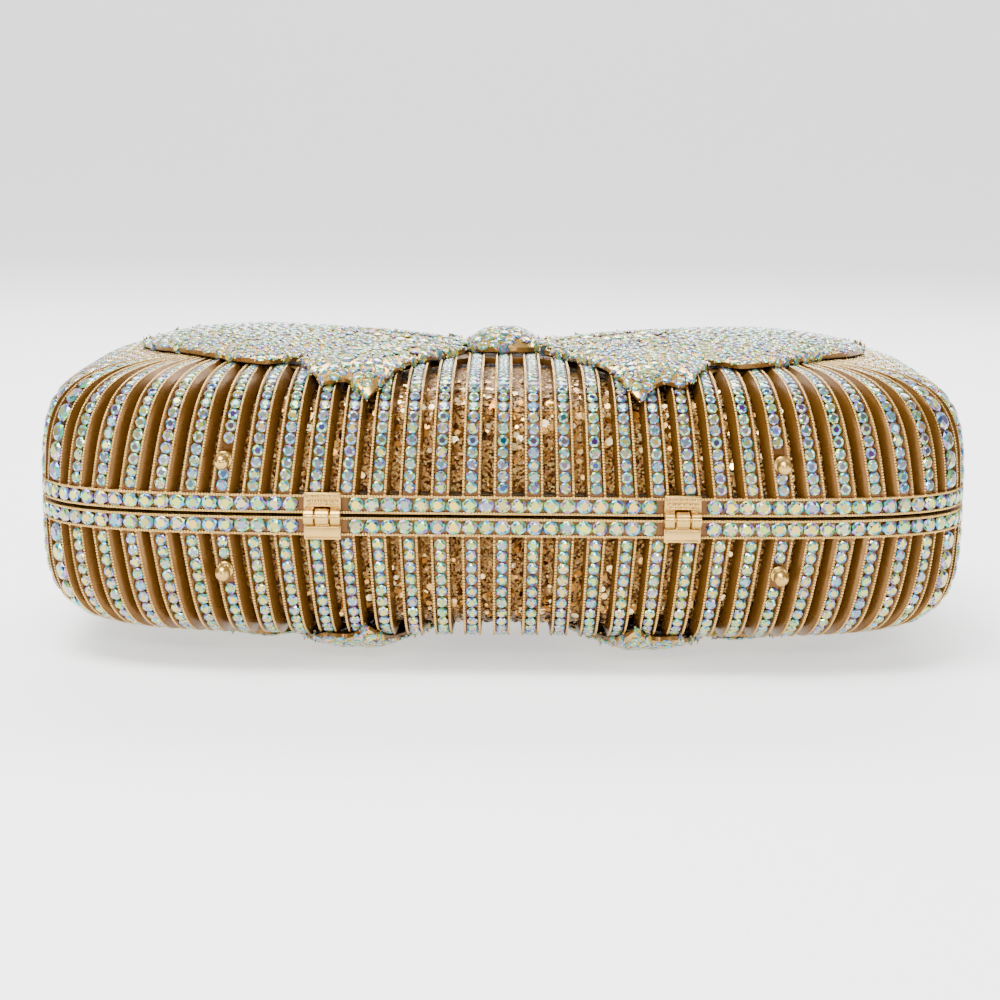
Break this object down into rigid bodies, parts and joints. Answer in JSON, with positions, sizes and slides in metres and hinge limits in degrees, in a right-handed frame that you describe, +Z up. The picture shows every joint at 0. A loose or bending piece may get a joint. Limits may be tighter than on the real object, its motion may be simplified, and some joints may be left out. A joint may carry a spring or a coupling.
{
  "type": "evening bag",
  "caption": "Hard-case evening bag with two cast openwork halves on a long-side hinge, crystal-set ribs and rims, a bow on each face, ball feet and a press latch.",
  "frame": {"origin": "centre of the base, where the back bow's crest rests on a table", "axes": "+X along the long side, +Y from the hinge side to the clasp side, +Z up through the back half to the front half"},
  "size_m": [0.201, 0.128, 0.069],
  "materials": {
    "gold_plate": "polished light gold plate",
    "gold_glitter": "coarse gold glitter cloth",
    "crystal_pave": "pave of pale iridescent crystals in gold",
    "champagne_lining": "champagne metallic cloth",
    "spring_steel": "bright spring wire"
  },
  "bodies": {
    "back_shell": {"back_casting": "gold_plate", "back_rim_frame": "gold_plate", "back_glitter_backing": "gold_glitter", "back_lining": "champagne_lining", "back_bow_knot": "crystal_pave", "back_bow_left_loop": "crystal_pave", "back_bow_right_loop": "crystal_pave", "back_bow_left_tail": "crystal_pave", "back_bow_right_tail": "crystal_pave", "back_foot_left": "gold_plate", "back_foot_right": "gold_plate", "hinge_left_back_leaf": "gold_plate", "hinge_right_back_leaf": "gold_plate", "hinge_left_pin": "gold_plate", "hinge_right_pin": "gold_plate", "chain_eye_left": "gold_plate", "chain_eye_right": "gold_plate", "clasp_strike": "gold_plate"},
    "front_shell": {"front_casting": "gold_plate", "front_rim_frame": "gold_plate", "front_glitter_backing": "gold_glitter", "front_lining": "champagne_lining", "front_bow_knot": "crystal_pave", "front_bow_left_loop": "crystal_pave", "front_bow_right_loop": "crystal_pave", "front_bow_left_tail": "crystal_pave", "front_bow_right_tail": "crystal_pave", "front_foot_left": "gold_plate", "front_foot_right": "gold_plate", "hinge_left_front_leaf": "gold_plate", "hinge_right_front_leaf": "gold_plate", "clasp_bracket": "gold_plate", "clasp_pin": "gold_plate", "clasp_spring": "spring_steel"},
    "latch": {"clasp_lever": "gold_plate", "clasp_stone": "crystal_pave"},
    "left_ring": {"chain_ring_left": "gold_plate"},
    "right_ring": {"chain_ring_right": "gold_plate"}
  },
  "joints": [
    {"name": "lid_hinge", "type": "hinge", "parent": "back_shell", "child": "front_shell", "pos_m": [0, -0.06, 0.0345], "axis": [1, 0, 0], "range_deg": [0, 95]},
    {"name": "latch_press", "type": "hinge", "parent": "front_shell", "child": "latch", "pos_m": [0, 0.0605, 0.0387], "axis": [1, 0, 0], "range_deg": [0, 12], "stiffness_Nm_per_rad": 0.02, "springref_deg": -8.59},
    {"name": "left_ring_swing", "type": "hinge", "parent": "back_shell", "child": "left_ring", "pos_m": [-0.09152, 0.024, 0.03], "axis": [0, -1, 0], "range_deg": [0, 95]},
    {"name": "right_ring_swing", "type": "hinge", "parent": "back_shell", "child": "right_ring", "pos_m": [0.09152, 0.024, 0.03], "axis": [0, 1, 0], "range_deg": [0, 95]}
  ]
}
